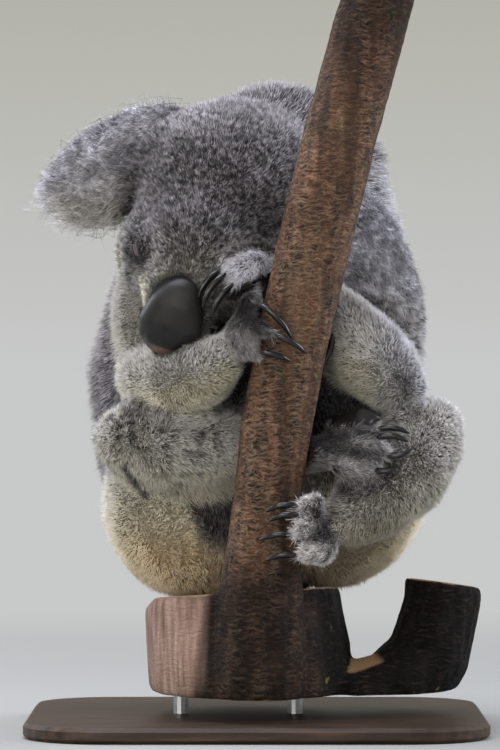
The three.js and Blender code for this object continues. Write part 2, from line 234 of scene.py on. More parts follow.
def evaluated(mesh, kind, **settings):
    """The mesh after one modifier with these settings."""
    carrier = bpy.data.objects.new("carrier", mesh)
    bpy.context.scene.collection.objects.link(carrier)
    modifier = carrier.modifiers.new("finish", kind)
    for name, value in settings.items():
        setattr(modifier, name, value)
    graph = bpy.context.evaluated_depsgraph_get()
    made = bpy.data.meshes.new_from_object(carrier.evaluated_get(graph))
    bpy.data.objects.remove(carrier)
    return made


def remeshed(mesh, voxel):
    """A voxel remesh, of which only the largest closed body is kept."""
    body = bmesh.new()
    body.from_mesh(evaluated(mesh, "REMESH", mode="VOXEL", voxel_size=voxel))
    unseen = set(body.verts)
    shells = []
    while unseen:
        front = [unseen.pop()]
        shells.append([])
        while front:
            vertex = front.pop()
            shells[-1].append(vertex)
            near = {edge.other_vert(vertex) for edge in vertex.link_edges} & unseen
            unseen -= near
            front += near
    for shell in sorted(shells, key=len)[:-1]:
        bmesh.ops.delete(body, geom=shell, context="VERTS")
    made = bpy.data.meshes.new("remeshed")
    body.to_mesh(made)
    body.free()
    return made


print("trunk fused from", len(solid_copy(["trunk"], 0).vertices), "CAD points")


# %% Reading and smoothing
def read(items, name, width, kind=float):
    """A property of every item of a mesh collection, as one array."""
    values = np.empty(len(items) * width, dtype=kind)
    items.foreach_get(name, values)
    return values.reshape(-1, width) if width > 1 else values


def spread(values, edges, rounds, share=0.5):
    """Moves each value by a share towards the mean of its neighbours along the edges, again and again."""
    count = len(values)
    near = np.concatenate([edges, edges[:, ::-1]])
    degree = np.maximum(np.bincount(near[:, 0], minlength=count), 1)
    columns = values.reshape(count, -1).T.copy()
    for _ in range(rounds):
        for i, column in enumerate(columns):
            total = np.bincount(near[:, 0], weights=column[near[:, 1]], minlength=count)
            columns[i] = column + share * (total / degree - column)
    return columns.T.reshape(values.shape)


def shape_of(mesh):
    """The places of a mesh's points and the ways they face."""
    return read(mesh.vertices, "co", 3), read(mesh.vertices, "normal", 3)


def reshape(mesh, points):
    """Puts a mesh's points in new places."""
    mesh.vertices.foreach_set("co", points.ravel())
    mesh.update()
    return mesh


def relax(mesh, rounds):
    """Smooths a mesh's shape."""
    edges = read(mesh.edges, "vertices", 2, int)
    return reshape(mesh, spread(shape_of(mesh)[0], edges, rounds))


def swollen(mesh, amount):
    """Moves every point along its normal."""
    points, normals = shape_of(mesh)
    return reshape(mesh, points + normals * amount)


chain = np.array([[0, 1], [1, 2]])
print("a step smoothed along a chain", spread(np.array([0.0, 0.0, 1.0]), chain, 1))


# %% Vectors, soft steps and noise
def unit(vectors):
    """Vectors at length one."""
    return vectors / np.maximum(np.linalg.norm(vectors, axis=-1, keepdims=True), 1e-9)


def ease(values, low, high):
    """0 below low, 1 above high, and a soft S between; low may be the larger."""
    t = np.clip((values - low) / (high - low), 0, 1)
    return t * t * (3 - 2 * t)


def grain(points, size, seed=0):
    """Smooth noise from -1 to 1; size is the grain in metres, one number or along X, Y and Z."""
    scaled = points / np.array(size) + seed * 17.3
    return np.array([noise.noise(p) for p in scaled.tolist()])


def middle(name):
    """The middle of a CAD node's box."""
    low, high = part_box(name)
    return np.array((low + high) / 2)


print("soft step", [round(float(ease(v, 0, 1)), 2) for v in (0.0, 0.25, 0.5, 1.0)])


# %% Keeping a finished piece
def keep(name, mesh, material, slot, *nodes):
    """Makes a finished piece of a mesh, riding on the one body and standing for CAD nodes."""
    mesh.name = name
    mesh.materials.clear()
    mesh.materials.append(material)
    mesh.polygons.foreach_set("use_smooth", np.ones(len(mesh.polygons), dtype=bool))
    piece = bpy.data.objects.new(name, mesh)
    bpy.context.scene.collection.objects.link(piece)
    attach(piece, "root")
    if nodes:
        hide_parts(*nodes)
    print(name, len(mesh.polygons), "faces")


def mark(mesh, name, values):
    """Carries one number per vertex on a mesh, for its material."""
    mesh.attributes.new(name, "FLOAT", "POINT").data.foreach_set("value", np.asarray(values, dtype=float))


print("helpers ready for", len(NODES), "nodes")

# %% [markdown]
# ## The skin's shape
# The skin hangs over fat and muscle, so limbs meet in soft folds. It could be sculpted by hand, but
# then it would leave the CAD sizes. Here each limb, the head and each ear is fused and smoothed by
# itself first, which keeps the folds between them crisp, and then all are fused into one closed skin.
# The trunk's group holds the head too, so that the nape runs into it. Paws are smoothed least.

# %% One skin from all the flesh
LIDS = ["eyelids_left", "eyelids_right"]
HEAD_SET = ["head", "nose"] + LIDS
# The solids fused together, the rounds of smoothing, and millimetres of swelling that make up for it
GROUPS = [(["trunk", "neck"] + HEAD_SET, 26, 3.0), (HEAD_SET, 7, 1.4)]
for side in ("right", "left"):
    GROUPS += [
        ([f"upper_arm_{side}", f"forearm_{side}"], 12, 1.4),
        ([f"thigh_{side}", f"shin_{side}"], 14, 1.4),
        ([f"ear_{side}"], 6, 1.4),
        ([f"hand_{side}"], 3, 0.4),
        ([f"foot_{side}"], 6, 0.6),
    ]
JOINING = 0.6 * MM
FINE, COARSE, WHOLE = 2 * MM, 3 * MM, 2.5 * MM
FLESH = sorted({n for names, _, _ in GROUPS for n in names} - {"nose", *LIDS})
volumes = []
for names, rounds, swell in GROUPS:
    fused = relax(remeshed(solid_copy(names, JOINING), FINE if rounds < 7 else COARSE), rounds)
    volumes.append(swollen(fused, swell * MM))
skin = relax(remeshed(together(volumes), WHOLE), 1)
print("skin", len(skin.vertices), "points")

# %% [markdown]
# ## Which part of the body each point belongs to
# A koala's coat is deep on the back and short on the face and paws. Painting weights by hand is the
# usual way. Here the nearest CAD solid names the part of each point, a table gives the coat of that
# part, and the values are then spread along the edges, so that one length runs softly into the next.

# %% Parts of the body
PARTS = FLESH + ["nose"] + LIDS
solids = [NODES[name].data for name in PARTS]
joined = together(solids)
walls = BVHTree.FromPolygons([v.co for v in joined.vertices], [tuple(p.vertices) for p in joined.polygons])
wall_part = np.repeat(np.arange(len(PARTS)), [len(solid.polygons) for solid in solids])
points, normals = shape_of(skin)
edges = read(skin.edges, "vertices", 2, int)
part = np.array([wall_part[walls.find_nearest(p)[2]] for p in points.tolist()])
print("parts", len(PARTS), "largest", PARTS[np.bincount(part).argmax()])

# %% The coat of each part
# Millimetres: how deep the skin lies under the tips, a tuft's length and width, and its number to
# the square millimetre
COAT = {
    "trunk": (9.5, 14, 0.8, 0.54),
    "neck": (9.0, 12, 0.8, 1.0),
    "head": (6.5, 9, 0.65, 1.9),
    "nose": (4.5, 2.5, 0.5, 0.2),
    "eyelids": (4.0, 4, 0.45, 2.4),
    "ear": (7.0, 18, 0.45, 2.1),
    "upper": (7.5, 10, 0.7, 1.2),
    "forearm": (6.5, 9, 0.7, 1.35),
    "thigh": (8.0, 11, 0.75, 1.0),
    "shin": (7.0, 9.5, 0.7, 1.2),
    "hand": (2.2, 7.5, 0.45, 2.6),
    "foot": (2.6, 9, 0.5, 2.2),
}


def share_of(*starts, rounds=6):
    """How much each point belongs to the parts whose names begin so, from 0 to 1."""
    mine = np.array([name.startswith(starts) for name in PARTS], dtype=float)[part]
    return spread(mine, edges, rounds)


def border(first, second, rounds):
    """The strip where two groups of parts meet, which is wider with more rounds of spreading."""
    return share_of(*first, rounds=rounds) * share_of(*second, rounds=rounds)


table = spread(np.array([COAT[name.split("_")[0]] for name in PARTS])[part], edges, 14)
depth, length, width, crowd = (table * [MM, MM, MM, 1e6]).T
print("mean length", round(float(length.mean()) / MM, 1), "mm")

# %% [markdown]
# ## Soft folds
# Thick fur fills the folds at the nape, the roots of the ears, the shoulders, the seat and behind the
# knees. Longer tufts alone would leave a dark crack there, so the skin is smoothed again in each
# fold, and only moves outwards.

# %% Fill the folds
LEGS = ("thigh_right", "shin_right", "thigh_left", "shin_left")
# The two sides of a fold, the heights it starts and ends at in metres, and how much of it is filled
SOFT_FOLDS = [
    (("head",), ("neck", "trunk"), 0.41, 0.6, 0.6),
    (("head",), ("ear",), 0.41, 0.6, 0.4),
    (("upper", "forearm_left"), ("neck", "trunk"), 0.25, 0.6, 0.8),
    (LEGS, ("trunk",), 0.0, 0.235, 1.0),
    (("thigh",), ("shin",), 0.0, 0.26, 0.95),
]
FADE = 0.03
folds = np.zeros(len(points))
for first, second, bottom, top, strength in SOFT_FOLDS:
    meeting = np.clip(6 * border(first, second, 110), 0, 1)
    inside = ease(points[:, 2], bottom, bottom + FADE) * ease(points[:, 2], top, top - FADE)
    folds = np.maximum(folds, meeting * inside * strength)
filled = spread(points, edges, 500, folds)
rises = ((filled - points) * normals).sum(axis=1) > 0
points = spread(np.where(rises[:, None], filled, points), edges, 2)
reshape(skin, points)
normals = read(skin.vertices, "normal", 3)
print("points lifted in folds", int((folds > 0.5).sum()))

# %% [markdown]
# ## Directions on the head
# Lids, muzzle and nose all follow the skull, which is bowed and turned. An empty could be lined up
# with it by eye. The CAD lids and nose already give the head's own axes: across, down the nose, and
# straight out of the face.

# %% Head axes
nose_at = middle("nose")
lid_at = {side: middle(f"eyelids_{side}") for side in ("left", "right")}
brow_at = (lid_at["left"] + lid_at["right"]) / 2
across = unit(lid_at["left"] - lid_at["right"])
down_nose = nose_at - brow_at
down_nose = unit(down_nose - across * (down_nose @ across))
out_of_face = np.cross(down_nose, across)
out_of_face *= -np.sign(out_of_face[1])
head_at = middle("head")
from_nose = np.linalg.norm(points - nose_at, axis=1)
crowd = crowd * np.maximum(part != PARTS.index("nose"), ease(normals @ across, -0.5, -0.8) * 0.8)
muzzle = ease(from_nose, 0.072, 0.034) * share_of("head", "nose", "eyelids")
print("down the nose", [round(float(v), 2) for v in down_nose])


# %% Round the eyes
def along_slit(side, spots):
    """Places measured along the closed slit of one eye and across it, from its middle."""
    sign = -1 if side == "right" else 1
    outward = unit(across * sign * 0.8 + out_of_face * 0.6)
    lengthwise = nose_at - lid_at[side]
    lengthwise = unit(lengthwise - outward * (lengthwise @ outward))
    u = (spots - lid_at[side]) @ lengthwise
    v = (spots - lid_at[side]) @ np.cross(outward, lengthwise)
    return u, v + SLIT_BOW * u**2


# The slit is a shallow arc: metres off a straight line at a metre along, though it is 20 mm long
SLIT_BOW = 12
from_lid = np.full(len(points), 1.0)
from_slit = np.full(len(points), 1.0)
# A strip from each eye towards the nose, made darker in the coat.
eye_streak = np.zeros(len(points))
for side in ("right", "left"):
    u, v = along_slit(side, points)
    away = np.linalg.norm(points - lid_at[side], axis=1)
    from_lid = np.minimum(from_lid, away)
    from_slit = np.where(away < 0.02, np.hypot(v, np.maximum(np.abs(u) - 0.010, 0) * 2), from_slit)
    v = v - SLIT_BOW * u**2
    eye_streak = np.maximum(eye_streak, ease(np.abs(v), 0.010, 0.004) * ease(u, 0.0, 0.008) * ease(u, 0.060, 0.045))
eye_streak = eye_streak * share_of("head", "eyelids")
lid_ring = ease(from_lid, 0.021, 0.011) * share_of("head", "eyelids")
print("face points", int((muzzle > 0.5).sum()), "lid ring", int((lid_ring > 0.5).sum()))

# %% [markdown]
# ## Lie of the coat
# Fur runs from the nose over the brow to the nape, down the back, and along each limb to its claws.
# Combing hair by hand would have to be done again after each change of the skin. So each part gets
# one direction, from its own middle to the next part's, and spreading blends them. An ear's fur fans
# out from the head, and its lower rim hangs as a long pale fringe.


# %% Flow over the skin
def claws_of(name):
    """The middle of the claws on a hand or foot."""
    return np.mean([middle(n) for n in NODES if n.startswith("claw_" + name)], axis=0)


# The part a limb's fur points at, and how much it sags on the way
NEXT_PART = {
    "upper": ("forearm", 0),
    "forearm": ("hand", 0),
    "thigh": ("shin", -0.5),
    "shin": ("foot", -0.45),
}
flow = np.zeros_like(points)
for number, name in enumerate(PARTS):
    mine = part == number
    kind = name.split("_")[0]
    side = name.split("_")[-1]
    if name in HEAD_SET:
        flow[mine] = unit(points[mine] - nose_at) + np.array([0, 0.15, 0.0])
    elif kind == "ear":
        flow[mine] = unit(points[mine] - middle("neck")) + np.array([0, -0.1, -0.25])
    elif kind in NEXT_PART:
        target, sag = NEXT_PART[kind]
        flow[mine] = unit(middle(f"{target}_{side}") - middle(name)) + np.array([0, 0, sag])
    elif kind in ("hand", "foot"):
        flow[mine] = unit(claws_of(name) - middle(name))
    else:
        flow[mine] = unit(points[mine] - head_at) + np.array([0, 0.1, -0.7])
flow = unit(spread(unit(flow), edges, 24))
print("flow downwards on average", round(float(-flow[:, 2].mean()), 2))

# %% [markdown]
# ## Lengths of the coat
# The rims of the ears and the left flank are shaggy, the muzzle is like velvet, and palms and soles
# are bare. A painted mask could carry this, but a rule holds when the skin changes. So each place is
# a product of soft steps along an axis, a height or a distance.

# %% Ear rims and fringes
ear_share = share_of("ear")
rim = np.zeros(len(points))
for side in ("right", "left"):
    mine = part == PARTS.index(f"ear_{side}")
    spots = points[mine] - points[mine].mean(axis=0)
    flat = np.linalg.eigh(spots.T @ spots)[1][:, 0]
    rim[mine] = 1 - np.abs(normals[mine] @ flat)
rim = spread(rim, edges, 4)
fringe = ear_share * ease(rim, 0.45, 0.85) * ease(-normals[:, 2], 0.1, 0.7)
fringe = fringe * (1 + 0.6 * share_of("ear_left"))
fluff = ear_share * ease(rim, 0.4, 0.85)
length = length + fringe * 20 * MM + fluff * 6 * MM
depth = depth + fluff * 5 * MM + fringe * 3 * MM
print("points on the rims", int((fluff > 0.5).sum()))

# %% Face, crown and flank
x, y, z = points.T
length = length * (1 - 0.52 * muzzle) * (1 - 0.5 * lid_ring)
length = length * (1 - 0.4 * ease(from_lid, 0.014, 0.010))
crowd = crowd * ease(from_slit, 0.0008, 0.0022)
bare_nose = share_of("nose", rounds=2)
depth = depth * (1 - 0.42 * muzzle * (1 - bare_nose)) * (1 - 0.35 * lid_ring)
crown = ease(z, 0.42, 0.46) * (1 - ear_share)
scalp = crown * share_of("head")
depth = depth * (1 - 0.2 * crown - 0.2 * scalp)
length = length * (1 + 0.22 * scalp)
flank = share_of("trunk", "upper_arm_left") * ease(x, 0.06, 0.085) * ease(y, 0.085, 0.03)
flank = flank * ease(z, 0.24, 0.28)
length = length * (1 + 0.6 * flank)
loft = depth * 1.15 + (3.0 * crown + 4.0 * scalp + 3.5 * flank) * MM
width = width * (1 - 0.25 * muzzle)
print("longest tufts", round(float(length.max()) / MM), "mm")

# %% Bare pads
# Palms and soles face the branch, which leans to one side and curves as it rises
FOOT_OF_BRANCH = np.array([0.003, -0.104])
LEAN = np.array([0.091, 0.0])
branch_low, branch_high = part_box("perch_branch")
climb = (points[:, 2:3] - branch_low[2]) / (branch_high[2] - branch_low[2])
to_branch = np.zeros_like(points)
to_branch[:, :2] = FOOT_OF_BRANCH + LEAN * climb**1.6 - points[:, :2]
paw_share = share_of("hand", "foot", rounds=3)
facing = (unit(to_branch) * normals).sum(axis=1)
pad = paw_share * ease(facing, 0.55, 0.75) * ease(np.linalg.norm(to_branch, axis=1), 0.055, 0.045)
pad = pad * ease(-normals[:, 2], -0.35, 0.0)
pad = np.maximum(pad, share_of("hand_left", rounds=2) * ease(-normals[:, 2], 0.4, 0.65))
toe_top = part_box("foot_right")[1][2]
first_toe = share_of("foot_right", rounds=2) * ease(z, toe_top - 0.019, toe_top - 0.014)
pad = np.clip(spread(np.maximum(pad, first_toe), edges, 2), 0, 1)
print("points on pads", int((pad > 0.5).sum()))


# %% Fingers and toes
def claw_root(name, paw):
    """Where a claw grows from its paw."""
    spots = np.array([v.co for v in NODES[name].data.vertices])
    nearest_first = np.argsort(np.linalg.norm(spots - middle(paw), axis=1))
    return spots[nearest_first[:6]].mean(axis=0)


PAWS = ("hand_right", "hand_left", "foot_right", "foot_left")
between = np.zeros(len(points))
by_claw = np.zeros(len(points))
for paw in PAWS:
    mine = part == PARTS.index(paw)
    away = []
    for name in (n for n in NODES if n.startswith("claw_" + paw)):
        root_at = claw_root(name, paw)
        way_back = (middle(paw) - root_at) * 0.75
        share = np.clip((points[mine] - root_at) @ way_back / (way_back @ way_back), -0.3, 1)
        away.append(np.linalg.norm(points[mine] - root_at - share[:, None] * way_back, axis=1))
        to_root = np.linalg.norm(points[mine] - root_at, axis=1)
        by_claw[mine] = np.maximum(by_claw[mine], ease(to_root, 0.013, 0.005))
    away = np.sort(np.array(away), axis=0)
    between[mine] = np.exp(-(((away[1] - away[0]) / (2.6 * MM)) ** 2)) * ease(away[0], 0.001, 0.004)
# Painted shade: the grooves between fingers and toes are darkened as well as pressed in.
between = spread(between, edges, 1) * paw_share * (1 - pad) * (1 - share_of("hand_left"))
points = points - normals * (between * 2.2 * MM)[:, None]
length = length * (1 + 0.5 * spread(by_claw, edges, 2))
print("points between fingers", int((between > 0.5).sum()))

# %% [markdown]
# ## Markings
# A koala is grey above with frosted tips, brownish on the back, darker on the brow, cream on the
# throat and inside the limbs, and stained tan where it sits. Separate materials would meet in a hard
# line. So each marking is a weight from 0 to 1 on every point, and one fur material mixes them all.

# %% Places on the body
# Each place is a part's share times soft steps in metres: x to the animal's left, y back and z up
x, y, z = points.T
patches = grain(points, 0.035, 1)
mottle = grain(points, (0.011, 0.011, 0.014), 2)
facing_down = ease(-normals[:, 2], -0.15, 0.75)
limbs = share_of("forearm", "upper", "shin", "thigh")
head_share = share_of("head", "nose", "eyelids")
trunk_share = share_of("trunk")
torso = share_of("trunk", "neck")
left_hand = share_of("hand_left", rounds=3)
right_leg = share_of("shin_right", "thigh_right")
left_shin = share_of("shin_left")
low = ease(z, 0.235, 0.12)
back = torso * ease(y, 0.0, 0.06)
rump = back * ease(z + 0.03 * patches, 0.2, 0.13)
seat = trunk_share * ease(z, 0.18, 0.14) * ease(y, 0.03, -0.03)
groin = trunk_share * ease(y, 0.0, -0.03) * ease(x, 0.012, 0.03) * ease(z, 0.235, 0.205)
# Painted shade: the front of the torso between the limbs is darkened, where they shut out the light.
belly = torso * ease(y, -0.01, -0.05) * ease(z, 0.40, 0.36) * ease(z, 0.135, 0.155) * (1 - groin)
pale_crown = ease(z, 0.435, 0.472) * ease(x, -0.01, -0.05)
cheek = head_share * ease(z, 0.40, 0.35) * ease(from_lid, 0.01, 0.02)
temple = head_share * ease(-normals[:, 0], 0.8, 0.95) * ease(from_lid, 0.012, 0.02)
temple = temple * ease(z, 0.40, 0.375) * ease(z, 0.31, 0.33)
outer_arm = share_of("upper_arm_left", "forearm_left") * ease(x, 0.075, 0.11)
for name, place in dict(rump=rump, seat=seat, belly=belly, cheek=cheek, temple=temple).items():
    print(name, int((place > 0.5).sum()), "points")

# %% Gaps, blotches and painted shade
# The coat breaks up between locks, and shows its dark roots there. On the right knee a short crease is
# darkened as painted shade, along a line whose two ends are given across and up.
CREASE_ENDS = np.array([[-0.104, 0.203], [-0.086, 0.176]])
blotch = ease(grain(points, (0.006, 0.006, 0.0045), 6) + 0.5 * patches, -0.05, 0.45)
blotch = blotch * share_of("shin_right", "thigh") * ease(x, -0.01, -0.04) * ease(z, 0.16, 0.22)
# Painted shade in the fold where each ear meets the head.
painted_ear_root_shade = np.clip(5 * border(("ear",), ("head",), 40), 0, 1) * ear_share
ear_gaps = ease(grain(points, 0.009, 8), -0.1, 0.4) * (1 - rim) * ear_share
lock_gaps = ease(grain(points, (0.007, 0.007, 0.018), 10), 0.0, 0.5) * flank
# Painted shadow of the right foot, where it lies on the left shin.
painted_foot_shadow = np.clip(6 * border(("foot_right",), ("shin_left",), 50), 0, 1)
crease_way = CREASE_ENDS[1] - CREASE_ENDS[0]
part_way = np.clip((points[:, ::2] - CREASE_ENDS[0]) @ crease_way / (crease_way @ crease_way), 0, 1)
aside = np.linalg.norm(points[:, ::2] - CREASE_ENDS[0] - part_way[:, None] * crease_way, axis=1)
# Painted shade in the crease on the right knee, on its front only.
painted_crease_shade = ease(aside + 0.003 * grain(points, 0.005, 9), 0.0035, 0.0005)
painted_crease_shade = painted_crease_shade * right_leg * ease(-normals[:, 1], 0.0, 0.3)
print("points in the parting", int((painted_crease_shade > 0.5).sum()))

# %% Pale and warm markings
cream = limbs * (0.4 + 0.3 * facing_down + 0.3 * low) + share_of("forearm") * 0.25 * facing_down
cream = np.clip(cream + fringe * 0.2 + ear_share * 0.3 * facing_down + patches * 0.12 * limbs, 0, 1)
cream = np.clip(cream + 0.4 * cheek + 0.6 * seat, 0, 1)
cream = np.clip(cream + 0.5 * temple, 0, 1) * (1 - 0.7 * outer_arm)
cream = np.clip(cream + 0.6 * groin, 0, 1)
cream = np.clip(cream + flank * 0.2 + (paw_share - left_hand) * 0.25, 0, 1)
tan = ease(z + 0.02 * patches, 0.185, 0.1) * (0.6 + 0.4 * facing_down) * (1 - paw_share)
brown = np.clip(back * 0.75 + trunk_share * 0.35 + head_share * 0.35 * (1 - muzzle), 0, 1) * (1 - flank)
frost = ear_share + limbs * 0.45 + paw_share * 0.6 + rump * 0.7 + share_of("neck") * 0.35
frost = np.clip(frost, 0, 1) + 0.5 * outer_arm + flank * 0.8
# Painted light: more frost on the top of the left thigh, where the rim light falls on the knee.
frost = np.clip(frost + share_of("thigh_left") * ease(z, 0.22, 0.25), 0, 1)
print("mean cream", round(float(cream.mean()), 2), "tan", round(float(tan.mean()), 2))

# %% Dark and soft markings
dark = head_share * (0.97 - 0.5 * pale_crown) * (1 - 0.5 * muzzle) + lid_ring * 0.25
dark = dark * (1 - 0.35 * cheek) * (1 - 0.5 * temple)
# Painted shade makes the belly between the limbs dark.
dark = dark + 1.2 * belly + 0.3 * outer_arm * ease(mottle, -0.1, 0.5)
dark = dark + share_of("hand_right", "foot_right") * 0.2 + left_shin * 0.35
dark = dark + torso * 0.6 * ease(z, 0.40, 0.46)
# Painted shade under the left ear: the top of the left upper arm is darker, partly as the ear's shadow and
# partly as dark under-fur.
dark = dark + share_of("upper_arm_left") * 0.7 * ease(z, 0.29, 0.33)
# Painted shadow of the right foot on the left shin.
dark = dark + 0.8 * painted_foot_shadow * left_shin
# Painted shade darkens the roots of the ears and the knee crease; the other gaps and blotches are the
# coat's own.
dark = dark + 0.6 * lock_gaps + 0.5 * painted_ear_root_shade + 0.65 * ear_gaps + 0.75 * blotch + 0.75 * painted_crease_shade
# Painted shade in the grooves between fingers and toes.
dark = np.clip(dark + between + (mottle + patches) * 0.2 * head_share + eye_streak * 0.25 + bare_nose, 0, 1)
soft = limbs * (0.8 - 0.35 * mottle) + tan * 0.3 + back * 0.25 + flank * 0.6
soft = np.clip(soft * (1 - dark), 0, 1)
plain = np.clip(soft + 0.55 * ear_share + 0.5 * paw_share + 0.3 * share_of("hand_left"), 0, 1)
plain = plain - 0.5 * head_share * (1 - muzzle)
MARKINGS = dict(cream=cream, tan=tan, brown=brown, frost=frost, dark=dark, soft=soft, plain=plain)
print("mean dark", round(float(dark.mean()), 2), "soft", round(float(soft.mean()), 2))

# %% [markdown]
# ## Sinking the skin
# The CAD outline is where the tips of the hairs end, and the skin of the animal lies well under it.
# Tufts could stand out from the outline instead, but the model would then be too big. So the skin
# goes in by the depth of the coat.

# %% Sink the skin under the coat
sink = depth * (1 + 0.15 * patches)
points = spread(points - normals * sink[:, None], edges, 2)
reshape(skin, points)
normals = read(skin.vertices, "normal", 3)
flow = unit(flow - normals * (flow * normals).sum(axis=1, keepdims=True))
for name, values in MARKINGS.items():
    mark(skin, name, values)
mark(skin, "pad", pad)
print("mean depth", round(float(sink.mean()) / MM, 1), "mm")

# %% [markdown]
# ## An unwrap of the skin
# Baked colours need the skin laid out flat. Seams could be cut by hand, but nobody paints on this
# one, so Smart UV Project cuts it by angle. Every tuft later takes the place of its root on this
# unwrap, so that a baked colour stays where it grew.

# %% Unwrap
skin_object = bpy.data.objects.new("unwrap", skin)
bpy.context.scene.collection.objects.link(skin_object)
bpy.context.view_layer.objects.active = skin_object
skin_object.select_set(True)
bpy.ops.object.mode_set(mode="EDIT")
bpy.ops.mesh.select_all(action="SELECT")
bpy.ops.uv.smart_project(angle_limit=math.radians(70), island_margin=0.002)
bpy.ops.object.mode_set(mode="OBJECT")
skin.uv_layers.active.name = "OFBake"
bpy.data.objects.remove(skin_object)
skin.calc_loop_triangles()
triangles = read(skin.loop_triangles, "vertices", 3, int)
triangle_uv = read(skin.uv_layers.active.data, "uv", 2)[read(skin.loop_triangles, "loops", 3, int)]
print("triangles", len(triangles))

# %% [markdown]
# ## Fur material
# Koala fur is a dense woolly felt of fine hairs with dark roots and pale tips. Blender's hair shader
# needs hair curves, which the export drops, so a Principled shader colours solid tufts. Six colour
# ramps from root to tip hold the grey, brown, frosted, cream, tan and dark hairs, and the markings
# mix them.

# %% Colours of the hairs
# Each kind of hair at its root, middle and tip
HAIRS = {
    "grey": [(0.2, "#1d1b1c"), (0.6, "#6b686d"), (1.0, "#cfccd5")],
    "brown": [(0.2, "#1f1b19"), (0.6, "#675f5c"), (1.0, "#c0b6b5")],
    "frost": [(0.2, "#2c2b2f"), (0.55, "#8d8b92"), (1.0, "#ecebf4")],
    "cream": [(0.1, "#706a55"), (0.5, "#b0a88c"), (1.0, "#e8e4cf")],
    "tan": [(0.1, "#86724e"), (0.5, "#c7af88"), (1.0, "#ecdcbd")],
    "dark": [(0.3, "#0a0809"), (0.65, "#2c2829"), (1.0, "#a39da0")],
}


def coat_colour(material, along):
    """The coat's colour from its markings, at a place along the hair from root (0) to tip (1)."""
    soft_here = add(material, "Attribute", out="Fac", attribute_name="soft")
    lifted = add(material, "Math", {0: soft_here, 1: 0.5}, operation="MULTIPLY")
    along = add(material, "MapRange", {"Value": along, "To Min": lifted})
    for marking, stops in HAIRS.items():
        hair = add(material, "ValToRGB", {"Fac": along}, stops)
        if marking in MARKINGS:
            share = add(material, "Attribute", out="Fac", attribute_name=marking)
            hair = add(material, "Mix", {0: share, 6: colour, 7: hair}, out=2, data_type="RGBA")
        colour = hair
    return colour


print("kinds of hair", ", ".join(HAIRS))

# %% Fur
# Wool scatters light in all directions: very rough, a low specular level, and a thin sheen that
# rims it. Its clots are drawn 4 mm wide, coarser than real ones, so that they show.
fur, where = new_material("woolly_fur")
along = add(fur, "Attribute", out="Fac", attribute_name="along")
tone = add(fur, "Attribute", out="Fac", attribute_name="tone")
evenness = add(fur, "Attribute", out="Fac", attribute_name="plain")
wool = add(fur, "TexNoise", {"Vector": where, "Scale": per_metre(4.17), "Detail": 3.0})
clots = add(fur, "MapRange", {
    "Value": wool, "From Min": 0.38, "From Max": 0.62, "To Min": 0.4, "To Max": 1.45})
even = add(fur, "MapRange", {"Value": evenness, "To Min": clots, "To Max": 1.0}, clamp=False)
value = add(fur, "Math", {0: tone, 1: even}, operation="MULTIPLY")
toned = add(fur, "HueSaturation", {"Value": value, "Color": coat_colour(fur, along)})
coat = add(fur, "BsdfPrincipled", {
    "Base Color": toned, "Roughness": 0.85, "Specular IOR Level": 0.25,
    "Sheen Weight": 0.15, "Sheen Roughness": 0.5})
add(fur, "OutputMaterial", {"Surface": coat})
print("fur of", len(fur.node_tree.nodes), "nodes")

# %% [markdown]
# ## Skin material
# Between the roots the skin shows the same markings, darker. Palms, soles and toe pads are bare
# black skin, pebbled like the pad of a dog. They could be pieces of their own, but a weight on the
# skin lets the fur thin out towards them without a seam.

# %% Skin and pads
# Bare pads are horny and a little greasy, so their roughness falls to 0.42 and a soft shine shows.
# The pebbles are 1.1 mm wide. The felt of the skin is finer than the 2.4 mm that it is drawn at.
hide, where = new_material("furred_skin_and_bare_pads")
speckle = add(hide, "TexNoise", {"Vector": where, "Scale": per_metre(2.38), "Detail": 3.0})
felt = add(hide, "MapRange", {
    "Value": speckle, "From Min": 0.3, "From Max": 0.7, "To Min": 0.0, "To Max": 0.45})
pebble = add(hide, "TexVoronoi", {"Vector": where, "Scale": per_metre(1.111)})
leather = add(hide, "ValToRGB", {"Fac": pebble}, [(0.0, "#1b1616"), (0.8, "#0c0a0a")])
bare = add(hide, "Attribute", out="Fac", attribute_name="pad")
both = add(hide, "Mix", {0: bare, 6: coat_colour(hide, felt), 7: leather}, out=2, data_type="RGBA")
shine = add(hide, "MapRange", {"Value": bare, "To Min": 0.9, "To Max": 0.42})
relief = add(hide, "Bump", {"Height": pebble, "Strength": 0.4, "Distance": 0.6 * MM})
surface = add(hide, "BsdfPrincipled", {
    "Base Color": both, "Roughness": shine, "Specular IOR Level": 0.3, "Normal": relief})
add(hide, "OutputMaterial", {"Surface": surface})
keep("skin", skin, hide, "back_fur", *FLESH)

# %% [markdown]
# ## Sowing the coat
# Hairs grow closer on the head and ears than on the back. Geometry Nodes can scatter points on a
# surface, but here every root also has to read a dozen values of the skin and its place on the
# unwrap, and later to find its lock. Arrays do that in one pass. So roots are dealt out over the
# skin's triangles in step with area and crowding, and each reads the skin where it stands.

# %% Roots of the tufts
corners = points[triangles]
area = np.linalg.norm(np.cross(corners[:, 1] - corners[:, 0], corners[:, 2] - corners[:, 0]), axis=1) / 2
crowd = crowd * (1 - ease(pad, 0.2, 0.5))
expected = area * crowd[triangles].mean(axis=1)
total = int(expected.sum() * (1.0))
marks = (np.arange(total) + rng.random(total)) / total * expected.sum()
chosen = np.minimum(np.searchsorted(np.cumsum(expected), marks), len(triangles) - 1)
mixing = rng.dirichlet((1, 1, 1), total)
print("tufts", total, "skin area", round(area.sum(), 3))


# %% Values at the roots
def at_roots(values):
    """Values carried by the skin's points, read at every root."""
    picked = values[triangles[chosen]]
    return np.einsum("nc,nc...->n...", mixing, picked)


